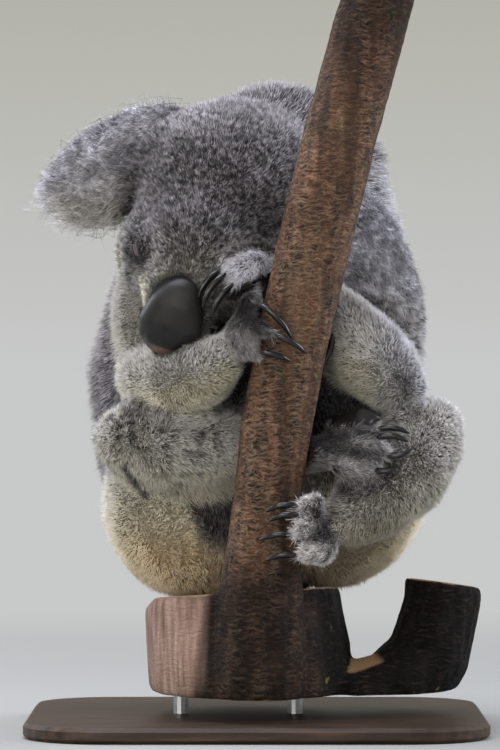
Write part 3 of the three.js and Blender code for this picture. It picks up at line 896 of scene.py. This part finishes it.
root = at_roots(points)
out = unit(at_roots(normals))
lie = at_roots(flow)
lie = unit(lie - out * (lie * out).sum(axis=1, keepdims=True))
beside = np.cross(out, lie)
tall = at_roots(loft)
long = at_roots(length) * rng.uniform(0.6, 1.2, total)
wide = at_roots(width) * rng.uniform(0.7, 1.25, total)
hang = at_roots(fringe)
shaggy = at_roots(np.maximum(ear_share, 0.6 * flank))
root_uv = np.einsum("nc,ncu->nu", mixing, triangle_uv[chosen])
print("mean tuft", round(float(long.mean()) / MM, 1), "mm long")

# %% [markdown]
# ## Turning and lifting
# No two hairs lie alike: wool turns to either side, stands up by the depth of the coat, and a few
# loose hairs fly. One angle for all would look combed. So each tuft is turned by smooth noise and a
# little chance, and its rise is the depth of the coat over its own length.

# %% Turn and lift
LOOSE_SHARE = 0.02
WHISKER_SHARE = 0.12
turn = 0.7 * grain(root, 0.009, 5) + rng.normal(0, 0.36, total)
swept = lie * np.cos(turn)[:, None] + beside * np.sin(turn)[:, None]
rise = np.clip(tall / long * rng.uniform(0.75, 1.15, total), 0.1, 0.9)
flyaway = rng.random(total) < LOOSE_SHARE
whisker = flyaway & (at_roots(muzzle) > 0.25) & (rng.random(total) < WHISKER_SHARE)
long = long * np.where(flyaway, 1.5 - 0.35 * shaggy, 1.0) * np.where(whisker, 4.0, 1.0)
wide = wide * np.where(flyaway, 0.3, 1.0)
lift = np.arcsin(np.clip(rise + hang * 0.35, 0.1, 0.92))
curved = (0.12 + 0.45 * shaggy) * ~flyaway
print("loose hairs", int(flyaway.sum()), "whiskers", int(whisker.sum()))


# %% Bend and tip
def reach(angle, share):
    """A step from the skin at an angle above it, for a share of the tuft's length."""
    step = swept * np.cos(angle)[:, None] + out * np.sin(angle)[:, None]
    return step * (long * share)[:, None]


WAIST = 0.42
curl = np.cross(out, swept) * (long * rng.normal(0, 0.12, total) * (1 + 1.5 * shaggy) * ~flyaway)[:, None]
bend = root + reach(np.minimum(lift + curved, 1.45), WAIST) + curl
tip = bend + reach(lift - curved * 0.65, 1 - WAIST) - curl
bend[:, 2] -= hang * long * 0.1
tip[:, 2] -= hang * long * 0.35
print("mean lift", round(math.degrees(float(lift.mean()))), "degrees")

# %% [markdown]
# ## Locks
# Wool hairs cling together at their tips. A particle system has clumping, but its hairs don't
# export. So one tuft in twelve leads, one in seventeen where the fur is shaggy, and every other tuft
# leans towards the tip of the nearest leader and takes on its tone.

# %% Gather into locks
LOCK_REACH = 4 * MM
leaders = np.flatnonzero(rng.random(total) < np.where(shaggy > 0.5, 1 / 17, 1 / 12))
finder = kdtree.KDTree(len(leaders))
for i, place in enumerate(root[leaders].tolist()):
    finder.insert(place, i)
finder.balance()
nearest = np.array([finder.find(p)[1:] for p in root.tolist()])
leader = leaders[nearest[:, 0].astype(int)]
pull = rng.uniform(0.4 * shaggy, 0.3 + 0.65 * shaggy) * (nearest[:, 1] < LOCK_REACH)
pull = pull * ((out * out[leader]).sum(axis=1) > 0.6) * ~flyaway
tip += (tip[leader] - tip) * pull[:, None]
bend += (bend[leader] - bend) * (pull * 0.3)[:, None]
lock_tone = (rng.normal(0, 0.14, total) * (1 + 2.4 * shaggy + at_roots(paw_share)))[leader]
print("locks", len(leaders))

# %% Tones
# The brightness of each tuft: some parts are paler; painted light brightens the left knee and the
# undersides of the right limbs; painted shade darkens the ear's upper rim, the belly, the finger
# grooves and the knee crease
x = points[:, 0]
pale = 0.7 * (1.6 * left_hand + 2.6 * share_of("foot_left", rounds=3))
pale = pale + 0.35 * share_of("foot_right", rounds=3) + 0.7 * (0.3 - 0.8 * fringe) * share_of("ear_left")
# Painted light: the left knee as if lit from behind on the right, and the undersides of the right limbs as
# if lit from the floor.
painted_light = 1.6 * share_of("thigh_left", "shin_left") * ease(x, 0.095, 0.12)
painted_light = painted_light + 0.4 * limbs * np.clip(facing_down + low, 0, 1) * ease(x, 0.0, -0.02)
# Painted shade: the ear's upper rim is dimmed where the key lamp falls on it most.
painted_shade_ear_top = rim * ease(normals[:, 2], -0.4, 0.2)
bright = 1 - 0.08 * head_share + pale + 0.4 * painted_light + 0.15 * fringe
# Painted shade also dims the tufts of the belly.
bright = bright + 0.05 * limbs + 0.12 * right_leg + 0.05 * flank - 0.35 * belly
bright = bright + ear_share * (0.55 - 0.8 * painted_shade_ear_top)
calm = 1 - 0.5 * np.clip(at_roots(soft), 0, 1)
tone_at = at_roots(bright) + (lock_tone + rng.normal(0, 0.17, total)) * calm
# Painted shade also dims the tufts in the finger grooves and the knee crease.
tone_at = np.clip(tone_at * (1 - 0.6 * at_roots(np.maximum(between, painted_crease_shade))), 0.3, 1.9)
tone_at = np.minimum(tone_at, 1.9 - 0.95 * at_roots(painted_shade_ear_top * ear_share))
print("tones from", round(float(tone_at.min()), 2), "to", round(float(tone_at.max()), 2))

# %% [markdown]
# ## Building the tufts
# A real coat has dozens of hairs to the square millimetre, which is too many to build. Hair curves
# would be dropped by the export, so each tuft stands for many hairs as a closed sliver: a root under
# the skin, a flat waist of two points a little above the straight line, and a tip, four triangles in
# all. On the ears, where hairs are long and curved, the waist has a third point, so that it stays
# slim round the bend. Each piece holds at most 190,000 triangles. Pieces stay small enough to
# export.


# %% One mesh of tufts
STRAIGHT = [(0, 1, 2), (0, 3, 1), (0, 2, 3), (3, 2, 1)]
BENT = [(0, 1, 4), (0, 4, 2), (0, 2, 1), (3, 4, 1), (3, 2, 4), (3, 1, 2)]
ROOT_DEPTH = 0.6 * MM
# Each corner's step from the root's place on the unwrap, so that a tuft has an area there
UV_STEPS = 0.0015 * np.array([(0, -1), (-1, 0), (1, 0), (0, 1), (0, 0.2)])


def tuft_mesh(name, mine, sides):
    """One mesh of the tufts whose numbers are in mine, each with these sides."""
    count = len(mine)
    corner_count = 1 + max(max(side) for side in sides)
    base = root[mine] - out[mine] * ROOT_DEPTH
    axis = unit(tip[mine] - base)
    edge = unit(np.cross(axis, out[mine]))
    crest = np.cross(edge, axis)
    half = (wide[mine] / 2)[:, None]
    waist = bend[mine]
    if sides == STRAIGHT:
        waist = base + (tip[mine] - base) * WAIST + crest * half * 0.7
    corners_of = [base, waist + edge * half, waist - edge * half, tip[mine], waist + crest * half * 0.8]
    shape = np.stack(corners_of[:corner_count], axis=1).reshape(-1, 3)
    faces = (np.arange(count)[:, None, None] * corner_count + np.array(sides)).reshape(-1, 3)
    mesh = bpy.data.meshes.new(name)
    mesh.vertices.add(len(shape))
    mesh.vertices.foreach_set("co", shape.ravel())
    mesh.loops.add(len(faces) * 3)
    mesh.loops.foreach_set("vertex_index", faces.ravel())
    mesh.polygons.add(len(faces))
    mesh.polygons.foreach_set("loop_start", np.arange(0, len(faces) * 3, 3))
    mesh.update(calc_edges=True)
    uv = (root_uv[mine][:, None, :] + UV_STEPS[:corner_count]).reshape(-1, 2)
    layer = mesh.uv_layers.new(name="OFBake")
    layer.data.foreach_set("uv", uv[faces.ravel()].ravel())
    halfway = 0.5 - 0.12 * shaggy[mine]
    along_it = [0 * halfway, halfway, halfway, 0 * halfway + 1, halfway]
    mark(mesh, "along", np.stack(along_it[:corner_count], axis=1).ravel())
    mark(mesh, "tone", np.repeat(tone_at[mine], corner_count))
    for marking, values in MARKINGS.items():
        mark(mesh, marking, np.repeat(at_roots(values)[mine], corner_count))
    return mesh


print("sides of a tuft", len(STRAIGHT), "or", len(BENT))

# %% Coat pieces
COATS = {
    "head": (("head", "nose", "eyelids"), "head_fur"),
    "ears": (("ear",), "ear_fur"),
    "arms": (("upper", "forearm"), "limb_fur"),
    "legs": (("thigh", "shin"), "thigh_fur"),
    "paws": (("hand", "foot"), "paw_fur"),
    "back": (("trunk", "neck"), "back_fur"),
}
MOST_TRIANGLES = 190000
root_part = part[triangles[chosen][:, 0]]
for name, (starts, slot) in COATS.items():
    wanted = [i for i, n in enumerate(PARTS) if n.startswith(starts)]
    mine = np.flatnonzero(np.isin(root_part, wanted))
    sides = BENT if name == "ears" else STRAIGHT
    lots = math.ceil(len(mine) * len(sides) / MOST_TRIANGLES)
    for number, lot in enumerate(np.array_split(mine, lots)):
        title = f"coat_{name}_{number + 1}"
        keep(title, tuft_mesh(title, lot, sides), fur, slot)

# %% [markdown]
# ## Nose
# A koala's nose is a tall bare shield of fine-grained leather with a nostril low on each side. It
# could be sculpted. Here the CAD solid is smoothed, and two dents and a groove are pressed in by
# formula along the head's axes, so they keep their place on the face.

# %% Shape of the nose
nose = relax(remeshed(solid_copy(["nose"], JOINING), 1.1 * MM), 40)
spots, facing_out = shape_of(nose)
place = spots - nose_at
side_way = place @ across
down_way = place @ down_nose
pit = np.zeros(len(spots))
for side in (-1, 1):
    curve = side * (13 * MM - 0.3 * np.maximum(down_way - 20 * MM, 0))
    off = np.hypot((side_way - curve) / 2.2, (down_way - 25 * MM) / 5.0) / MM
    pit += np.exp(-(off**2) * 1.2)
groove = np.exp(-((side_way / (1.2 * MM)) ** 2)) * ease(down_way, 20 * MM, 28 * MM)
shape = spots - facing_out * ((pit * 3.0 + groove * 0.6) * MM)[:, None]
broad = 0.3 * ease(down_way, -25 * MM, 27 * MM) - 0.04
shape += across * (side_way * broad + 3.5 * MM * ease(down_way, 30 * MM, -25 * MM))[:, None]
reshape(nose, shape)
# The nostrils and the groove are marked for painted shade.
mark(nose, "pit", np.clip(pit + groove * 0.4, 0, 1))
backward = facing_out @ out_of_face
mark(nose, "lip", ease(down_way, 0.9 * down_way.max(), down_way.max()) * ease(backward, 0.35, 0.1))
print("nose", round(float(np.ptp(down_way)) / MM), "mm tall")

# %% Nose leather
# Bare moist leather: a broad soft highlight that breaks up in clouds 11 mm wide, over a pebble of
# 0.7 mm, pink at the lip, and painted near-black in the nostrils and the groove as painted shade.
nose_leather, where = new_material("bare_nose_leather")
cells = add(nose_leather, "TexVoronoi", {"Vector": where, "Scale": per_metre(0.6667)})
cloud = add(nose_leather, "TexNoise", {"Vector": where, "Scale": per_metre(11.1), "Detail": 2.0})
leather = add(nose_leather, "ValToRGB", {"Fac": cloud}, [(0.3, "#131211"), (0.7, "#1f1d1d")])
colour = leather
# Painted shade: near-black in the nostrils and the groove; the lip's pink is its own.
for name, code in (("pit", "#080708"), ("lip", "#6b544e")):
    share = add(nose_leather, "Attribute", out="Fac", attribute_name=name)
    colour = add(nose_leather, "Mix", {0: share, 6: colour, 7: linear(code)}, out=2, data_type="RGBA")
relief = add(nose_leather, "Bump", {"Height": cells, "Strength": 0.25, "Distance": 0.4 * MM})
gloss = add(nose_leather, "MapRange", {"Value": cloud, "To Min": 0.36, "To Max": 0.5})
surface = add(nose_leather, "BsdfPrincipled", {
    "Base Color": colour, "Roughness": gloss, "Specular IOR Level": 0.32, "Normal": relief})
add(nose_leather, "OutputMaterial", {"Surface": surface})
keep("nose_shield", nose, nose_leather, "nose_leather", "nose")

# %% [markdown]
# ## Closed lids
# Two thin folds of brown skin meet in a slit that slants towards the nose. A dark line could be
# painted on, but the lids also catch light, so the slit and a crease beside it are pressed into the
# CAD lids.

# %% Lid skin
# Thin hairless skin, half matt and wrinkled every 1.7 mm: a warmer brown beside the slit, and
# nearly black in it.
lid_skin, where = new_material("thin_lid_skin")
fine = add(lid_skin, "TexNoise", {"Vector": where, "Scale": per_metre(1.667), "Detail": 3.0})
slit = add(lid_skin, "Attribute", out="Fac", attribute_name="slit")
flesh = add(lid_skin, "ValToRGB", {"Fac": slit}, [
    (0.0, "#2a2523"), (0.5, "#3d3330"), (0.8, "#51423e"), (0.97, "#0e0a09")])
relief = add(lid_skin, "Bump", {"Height": fine, "Strength": 0.5, "Distance": 0.4 * MM})
surface = add(lid_skin, "BsdfPrincipled", {"Base Color": flesh, "Roughness": 0.5, "Normal": relief})
add(lid_skin, "OutputMaterial", {"Surface": surface})
print("lid skin of", len(lid_skin.node_tree.nodes), "nodes")

# %% Lids
for side in ("right", "left"):
    lid = relax(remeshed(solid_copy([f"eyelids_{side}"], 0), 0.7 * MM), 5)
    spots, facing_out = shape_of(lid)
    u, v = along_slit(side, spots)
    gap = np.exp(-((v / (0.9 * MM)) ** 2))
    crease = np.exp(-(((np.abs(v) - 3.4 * MM) / (0.7 * MM)) ** 2))
    edge_in = ease(np.hypot(v / 4.5, u / 12), 0.7 * MM, 1.3 * MM)
    dent = (gap * 1.0 + crease * 0.3 + edge_in * 3.4 + 0.6) * MM
    reshape(lid, spots - facing_out * dent[:, None])
    mark(lid, "slit", np.clip(np.exp(-((v / (2.2 * MM)) ** 2)) * 0.85 + gap * 0.15, 0, 1))
    keep(f"lids_{side}", lid, lid_skin, "lid_skin", f"eyelids_{side}")

# %% [markdown]
# ## Claws
# A climbing claw is a smooth curved hook. A tapered curve could make one, but the CAD claws already
# have the right bend and place, only coarsely, so two rounds of subdivision smooth them.

# %% Claw horn
# Horn polished by climbing: black-brown, and smooth enough for sharp glints. Its fine streaks are
# drawn 3.8 mm apart, so that they show.
horn, where = new_material("polished_claw_horn")
streak = add(horn, "TexNoise", {"Vector": where, "Scale": per_metre(3.85), "Detail": 2.0})
tint = add(horn, "ValToRGB", {"Fac": streak}, [(0.35, "#0c0a0b"), (0.62, "#1c1819"), (0.8, "#3a3231")])
relief = add(horn, "Bump", {"Height": streak, "Strength": 0.15, "Distance": 0.4 * MM})
surface = add(horn, "BsdfPrincipled", {"Base Color": tint, "Roughness": 0.24, "Normal": relief})
add(horn, "OutputMaterial", {"Surface": surface})
print("horn of", len(horn.node_tree.nodes), "nodes")

# %% Claws
CLAWS = sorted(n for n in NODES if n.startswith("claw_"))
for paw in PAWS:
    names = [n for n in CLAWS if n.startswith("claw_" + paw)]
    claws = evaluated(solid_copy(names, 0.8 * MM), "SUBSURF", levels=2, render_levels=2)
    keep(f"claws_{paw}", claws, horn, "horn", *names)

# %% [markdown]
# ## Perch
# The branch, the stump and the sawn fork are one piece of a gum tree. Bark cracks lengthwise as the
# tree thickens, and peels off in places. A displacement texture would need far more faces, so the
# furrows are pressed into the mesh, and only the fibres are left to the bump of the material.

# %% Wood shape
WOOD = ["perch_branch", "perch_stump", "perch_fork"]
wood = relax(remeshed(solid_copy(WOOD, JOINING), 2.3 * MM), 7)
spots, facing_out = shape_of(wood)
x, y, z = spots.T
level = np.abs(facing_out[:, 2])
bark_share = 1 - ease(level, 0.75, 0.93)
bald = ease(x + 12 * MM * grain(spots, (0.02, 0.02, 0.05), 4), -0.036, -0.052)
bald = bald * ease(z, 0.112, 0.10) * ease(facing_out[:, 0], 0.1, -0.4)
furrow = grain(spots, (0.007, 0.007, 0.04), 1)
lump = grain(spots, (0.02, 0.02, 0.05), 2)
flake = grain(spots, (0.004, 0.004, 0.009), 3)
thick = 0.5 + 0.5 * ease(z, 0.2, 0.1)
height = (furrow * 1.1 + lump * 1.2 + flake * 0.4) * thick * bark_share * (1 - 0.75 * bald)
reshape(wood, spots + facing_out * (height * MM)[:, None])
print("bark relief", round(float(np.ptp(height)), 1), "mm")

# %% Wood markings
on_branch = ease(z, 0.11, 0.16)
old_top = 0.92 * ease(z, 0.45, 0.6)
brown_bulge = ease(np.hypot(x, y + 0.1), 0.06, 0.035)
brown_bulge = brown_bulge * (0.5 + 0.5 * grain(spots, 0.02, 7))
aged = np.clip(1 - on_branch * (1 - old_top) - 0.5 * brown_bulge, 0, 1)
# Painted shade: the low places of the bark's relief are marked to be darkened.
painted_furrow_shade = np.clip(0.5 + height * 0.4, 0, 1)
WEIGHTS = {"furrow": painted_furrow_shade, "bald": bald, "sawn": ease(level, 0.85, 0.95), "aged": aged}
for name, values in WEIGHTS.items():
    mark(wood, name, values)
    print(name, round(float(values.mean()), 2))

# %% [markdown]
# ## Bark material
# Young gum bark is reddish and fibrous, and old bark is nearly black. It could be painted, but layers
# that lie over each other, each with its own pattern and share, follow the shape and can be changed
# one by one.

# %% Bark patterns
# Fibres run up the branch, so their coordinates are squeezed along Z. The fibres are 6.7 mm apart
# and the pits 3 mm, both coarser than real ones, so that they show.
bark, where = new_material("reddish_bark")
waver = add(bark, "TexNoise", {"Vector": where, "Scale": per_metre(7.7), "Detail": 3.0}, out="Color")
shifted = add(bark, "VectorMath", {0: waver, 1: [7 * MM] * 3, 2: where}, operation="MULTIPLY_ADD")
squash = add(bark, "Mapping", {"Vector": shifted, "Scale": (0.4, 0.4, 1.5)})
stretch = add(bark, "Mapping", {"Vector": where, "Scale": (1.0, 1.0, 0.14)})
streaks = add(bark, "Mapping", {"Vector": where, "Scale": (1.0, 1.0, 0.06)})
# The coordinates that each noise follows, its grain in millimetres, and its detail
NOISES = {
    "fibre": (stretch, 6.67, 5.0),
    "pits": (squash, 3.03, 4.0),
    "patch": (where, 29.4, 4.0),
    "lichen": (where, 18.2, 5.0),
    "strip": (streaks, 10.5, 1.0),
    "band": (streaks, 16.7, 2.0),
}
patterns = {name: add(bark, "Attribute", out="Fac", attribute_name=name) for name in WEIGHTS}
for name, (follows, size, detail) in NOISES.items():
    patterns[name] = add(bark, "TexNoise", {"Vector": follows, "Scale": per_metre(size), "Detail": detail})
patterns["wrinkle"] = add(bark, "TexVoronoi", {
    "Vector": squash, "Scale": per_metre(3.33)}, feature="DISTANCE_TO_EDGE")
patterns["rings"] = add(bark, "TexWave", {
    "Vector": where, "Scale": per_metre(9.1), "Distortion": 2.5, "Detail": 2.0},
    out="Fac", wave_type="RINGS", rings_direction="Z")
print("bark patterns:", ", ".join(patterns))

# %% Bark layers
TINTS = {
    "live": ("pits", [(0.33, "#24170f"), (0.44, "#4b3224"), (0.58, "#684936"), (0.72, "#8b6b52")]),
    "dull": ("pits", [(0.35, "#140f0b"), (0.52, "#3b2f26"), (0.68, "#6b5848")]),
    "old": ("pits", [(0.36, "#050404"), (0.55, "#100e0c"), (0.72, "#30251d")]),
    "bared": ("fibre", [(0.25, "#5b463b"), (0.5, "#8d7466"), (0.75, "#ad9384")]),
    "worn": ("fibre", [(0.3, "#4a3323"), (0.5, "#6e5139"), (0.7, "#95785a")]),
    "cut": ("rings", [(0.0, "#8a6b4c"), (1.0, "#a98a68")]),
}
tints = {}
for name, (pattern, stops) in TINTS.items():
    tints[name] = add(bark, "ValToRGB", {"Fac": patterns[pattern]}, stops)
# From the lowest layer up: its pattern, the values where the layer starts and where it is full, its
# greatest share, and its colour
LAYERS = [
    ("fibre", 0.42, 0.58, 0.9, tints["dull"]),
    ("wrinkle", 0.1, 0.0, 0.3, linear("#a98e72")),
    ("strip", 0.5, 0.64, 0.3, tints["worn"]),
    ("patch", 0.5, 0.72, 0.6, linear("#35241a")),
    ("band", 0.52, 0.64, 0.65, linear("#2a1c14")),
    ("aged", 0.0, 1.0, 1.0, tints["old"]),
    ("lichen", 0.68, 0.74, 0.7, linear("#8d8456")),
    # Painted shade darkens the low places of the relief.
    ("furrow", 0.45, 0.1, 0.75, linear("#1b1512")),
    ("bald", 0.0, 1.0, 1.0, tints["bared"]),
    ("sawn", 0.0, 1.0, 1.0, tints["cut"]),
]
colour = tints["live"]
for pattern, low_end, high_end, most, layer in LAYERS:
    share = add(bark, "MapRange", {
        "Value": patterns[pattern], "From Min": low_end, "From Max": high_end, "To Max": most})
    colour = add(bark, "Mix", {0: share, 6: colour, 7: layer}, out=2, data_type="RGBA")
print("layers of bark", len(LAYERS) + 1)

# %% Bark surface
# Dry bark is dusty: rough all over, roughest where it is old, with hardly any shine.
relief = add(bark, "Bump", {"Height": patterns["fibre"], "Strength": 0.7, "Distance": 1.6 * MM})
relief = add(bark, "Bump", {
    "Height": patterns["pits"], "Strength": 0.8, "Distance": 1.6 * MM, "Normal": relief})
dusty = add(bark, "MapRange", {"Value": patterns["aged"], "To Min": 0.72, "To Max": 0.95})
surface = add(bark, "BsdfPrincipled", {
    "Base Color": colour, "Roughness": dusty, "Specular IOR Level": 0.2, "Normal": relief})
add(bark, "OutputMaterial", {"Surface": surface})
keep("perch_wood", wood, bark, "branch_bark", *WOOD)

# %% [markdown]
# ## Stand
# A museum stand is plain, so that nobody looks at it: a routed board and two turned rods. The CAD
# base and rods already have that shape, so they stay as they are and only get their finishes.

# %% Oiled walnut
# Oil darkens walnut and fills its pores: a satin surface whose figure runs along X, 6.7 mm wide.
oiled, where = new_material("dark_oiled_walnut")
board = add(oiled, "Mapping", {"Vector": where, "Scale": (0.12, 1.0, 1.0)})
figure = add(oiled, "TexNoise", {"Vector": board, "Scale": per_metre(6.67), "Detail": 6.0})
tint = add(oiled, "ValToRGB", {"Fac": figure}, [(0.3, "#241a14"), (0.52, "#3b2b20"), (0.72, "#523c2c")])
relief = add(oiled, "Bump", {"Height": figure, "Strength": 0.2, "Distance": 0.4 * MM})
surface = add(oiled, "BsdfPrincipled", {
    "Base Color": tint, "Roughness": 0.5, "Specular IOR Level": 0.3, "Normal": relief})
add(oiled, "OutputMaterial", {"Surface": surface})
print("walnut of", len(oiled.node_tree.nodes), "nodes")

# %% Brushed steel
# Steel turned and brushed round: its scratches break the reflection into rings. They are far finer
# than the 0.3 mm that they are drawn at along the rod.
steel, where = new_material("brushed_steel")
brush = add(steel, "Mapping", {"Vector": where, "Scale": (1.0, 1.0, 30.0)})
scratch = add(steel, "TexNoise", {"Vector": brush, "Scale": per_metre(8.33)})
rough = add(steel, "MapRange", {"Value": scratch, "To Min": 0.25, "To Max": 0.45})
bright_lines = add(steel, "ValToRGB", {"Fac": scratch}, [(0.35, "#a7a9ab"), (0.65, "#c8cacc")])
surface = add(steel, "BsdfPrincipled", {
    "Base Color": bright_lines, "Metallic": 1.0, "Roughness": rough})
add(steel, "OutputMaterial", {"Surface": surface})
for name, material in (("stand_base", oiled), ("stand_rod_left", steel), ("stand_rod_right", steel)):
    for slot_of in NODES[name].material_slots:
        slot_of.material = material
    print(name, "in", material.name)
